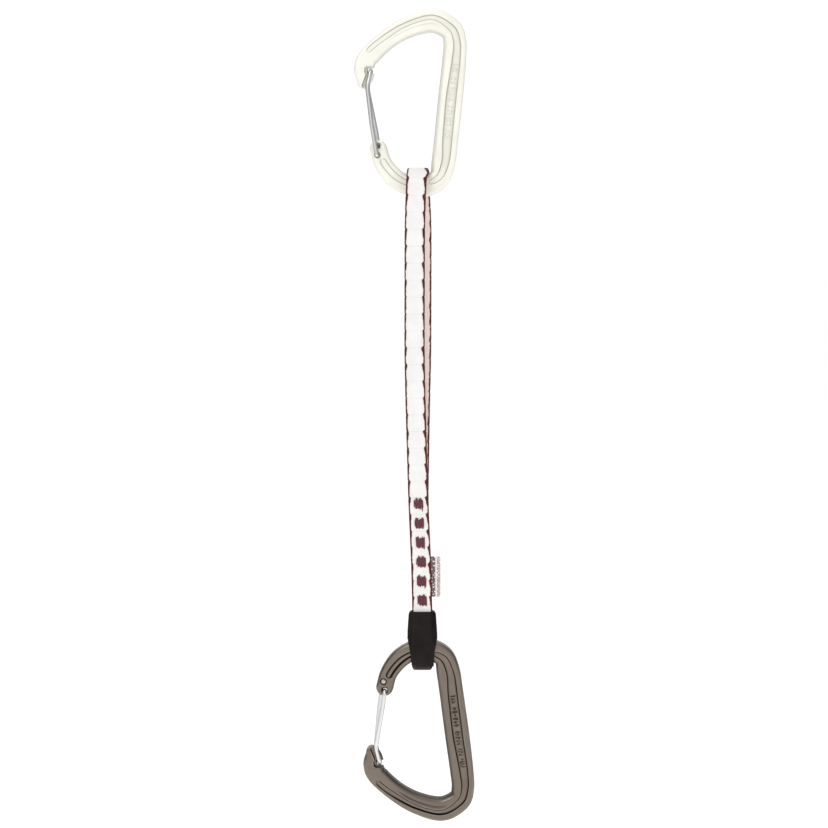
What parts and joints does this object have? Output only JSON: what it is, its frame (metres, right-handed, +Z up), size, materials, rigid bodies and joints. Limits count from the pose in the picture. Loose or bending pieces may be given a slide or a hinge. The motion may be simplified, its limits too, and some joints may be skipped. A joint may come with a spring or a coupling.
{
  "type": "climbing quickdraw",
  "caption": "Climbing quickdraw: wire-gate carabiners with I-beam frames joined by a narrow sewn webbing sling with bar tacks, a side label and a rubber keeper.",
  "frame": {"origin": "inside top of the upper carabiner's broad end, where it bears on its anchor", "axes": "+Z up along the hanging quickdraw, +X towards the spines, +Y to the back, across the carabiners"},
  "size_m": [0.0602, 0.0194, 0.4075],
  "materials": {
    "silver_frame": "bright polished and clear anodised",
    "grey_frame": "satin warm grey anodised",
    "gate_wire": "polished stainless wire",
    "webbing": "woven tape with dark red edges",
    "tack_thread": "dense sewing thread",
    "label": "smooth woven tag",
    "keeper_rubber": "matte moulded rubber"
  },
  "bodies": {
    "upper_carabiner": {"upper_frame": "silver_frame"},
    "upper_gate": {"upper_wire_gate": "gate_wire"},
    "sling": {"sling_webbing": "webbing", "bar_tack_1": "tack_thread", "bar_tack_2": "tack_thread", "bar_tack_3": "tack_thread", "bar_tack_4": "tack_thread", "bar_tack_5": "tack_thread", "bar_tack_6": "tack_thread", "sling_label": "label", "rubber_keeper": "keeper_rubber"},
    "lower_carabiner": {"lower_frame": "grey_frame"},
    "lower_gate": {"lower_wire_gate": "gate_wire"}
  },
  "joints": [
    {"name": "upper_gate_opening", "type": "hinge", "parent": "upper_carabiner", "child": "upper_gate", "pos_m": [-0.02675, 0, -0.05592], "axis": [0, 1, 0], "range_deg": [0, 40], "stiffness_Nm_per_rad": 0.1, "springref_deg": -11.46},
    {"name": "sling_swing", "type": "hinge", "parent": "upper_carabiner", "child": "sling", "pos_m": [-0.0067, 0, -0.0763], "axis": [1, 0, 0], "range_deg": [-150, 150]},
    {"name": "lower_carabiner_swing", "type": "hinge", "parent": "sling", "child": "lower_carabiner", "pos_m": [-0.0044, 0, -0.3085], "axis": [1, 0, 0], "range_deg": [-15, 15]},
    {"name": "lower_gate_opening", "type": "hinge", "parent": "lower_carabiner", "child": "lower_gate", "pos_m": [-0.0238, 0, -0.3295], "axis": [0, -1, 0], "range_deg": [0, 40], "stiffness_Nm_per_rad": 0.1, "springref_deg": -11.46}
  ]
}
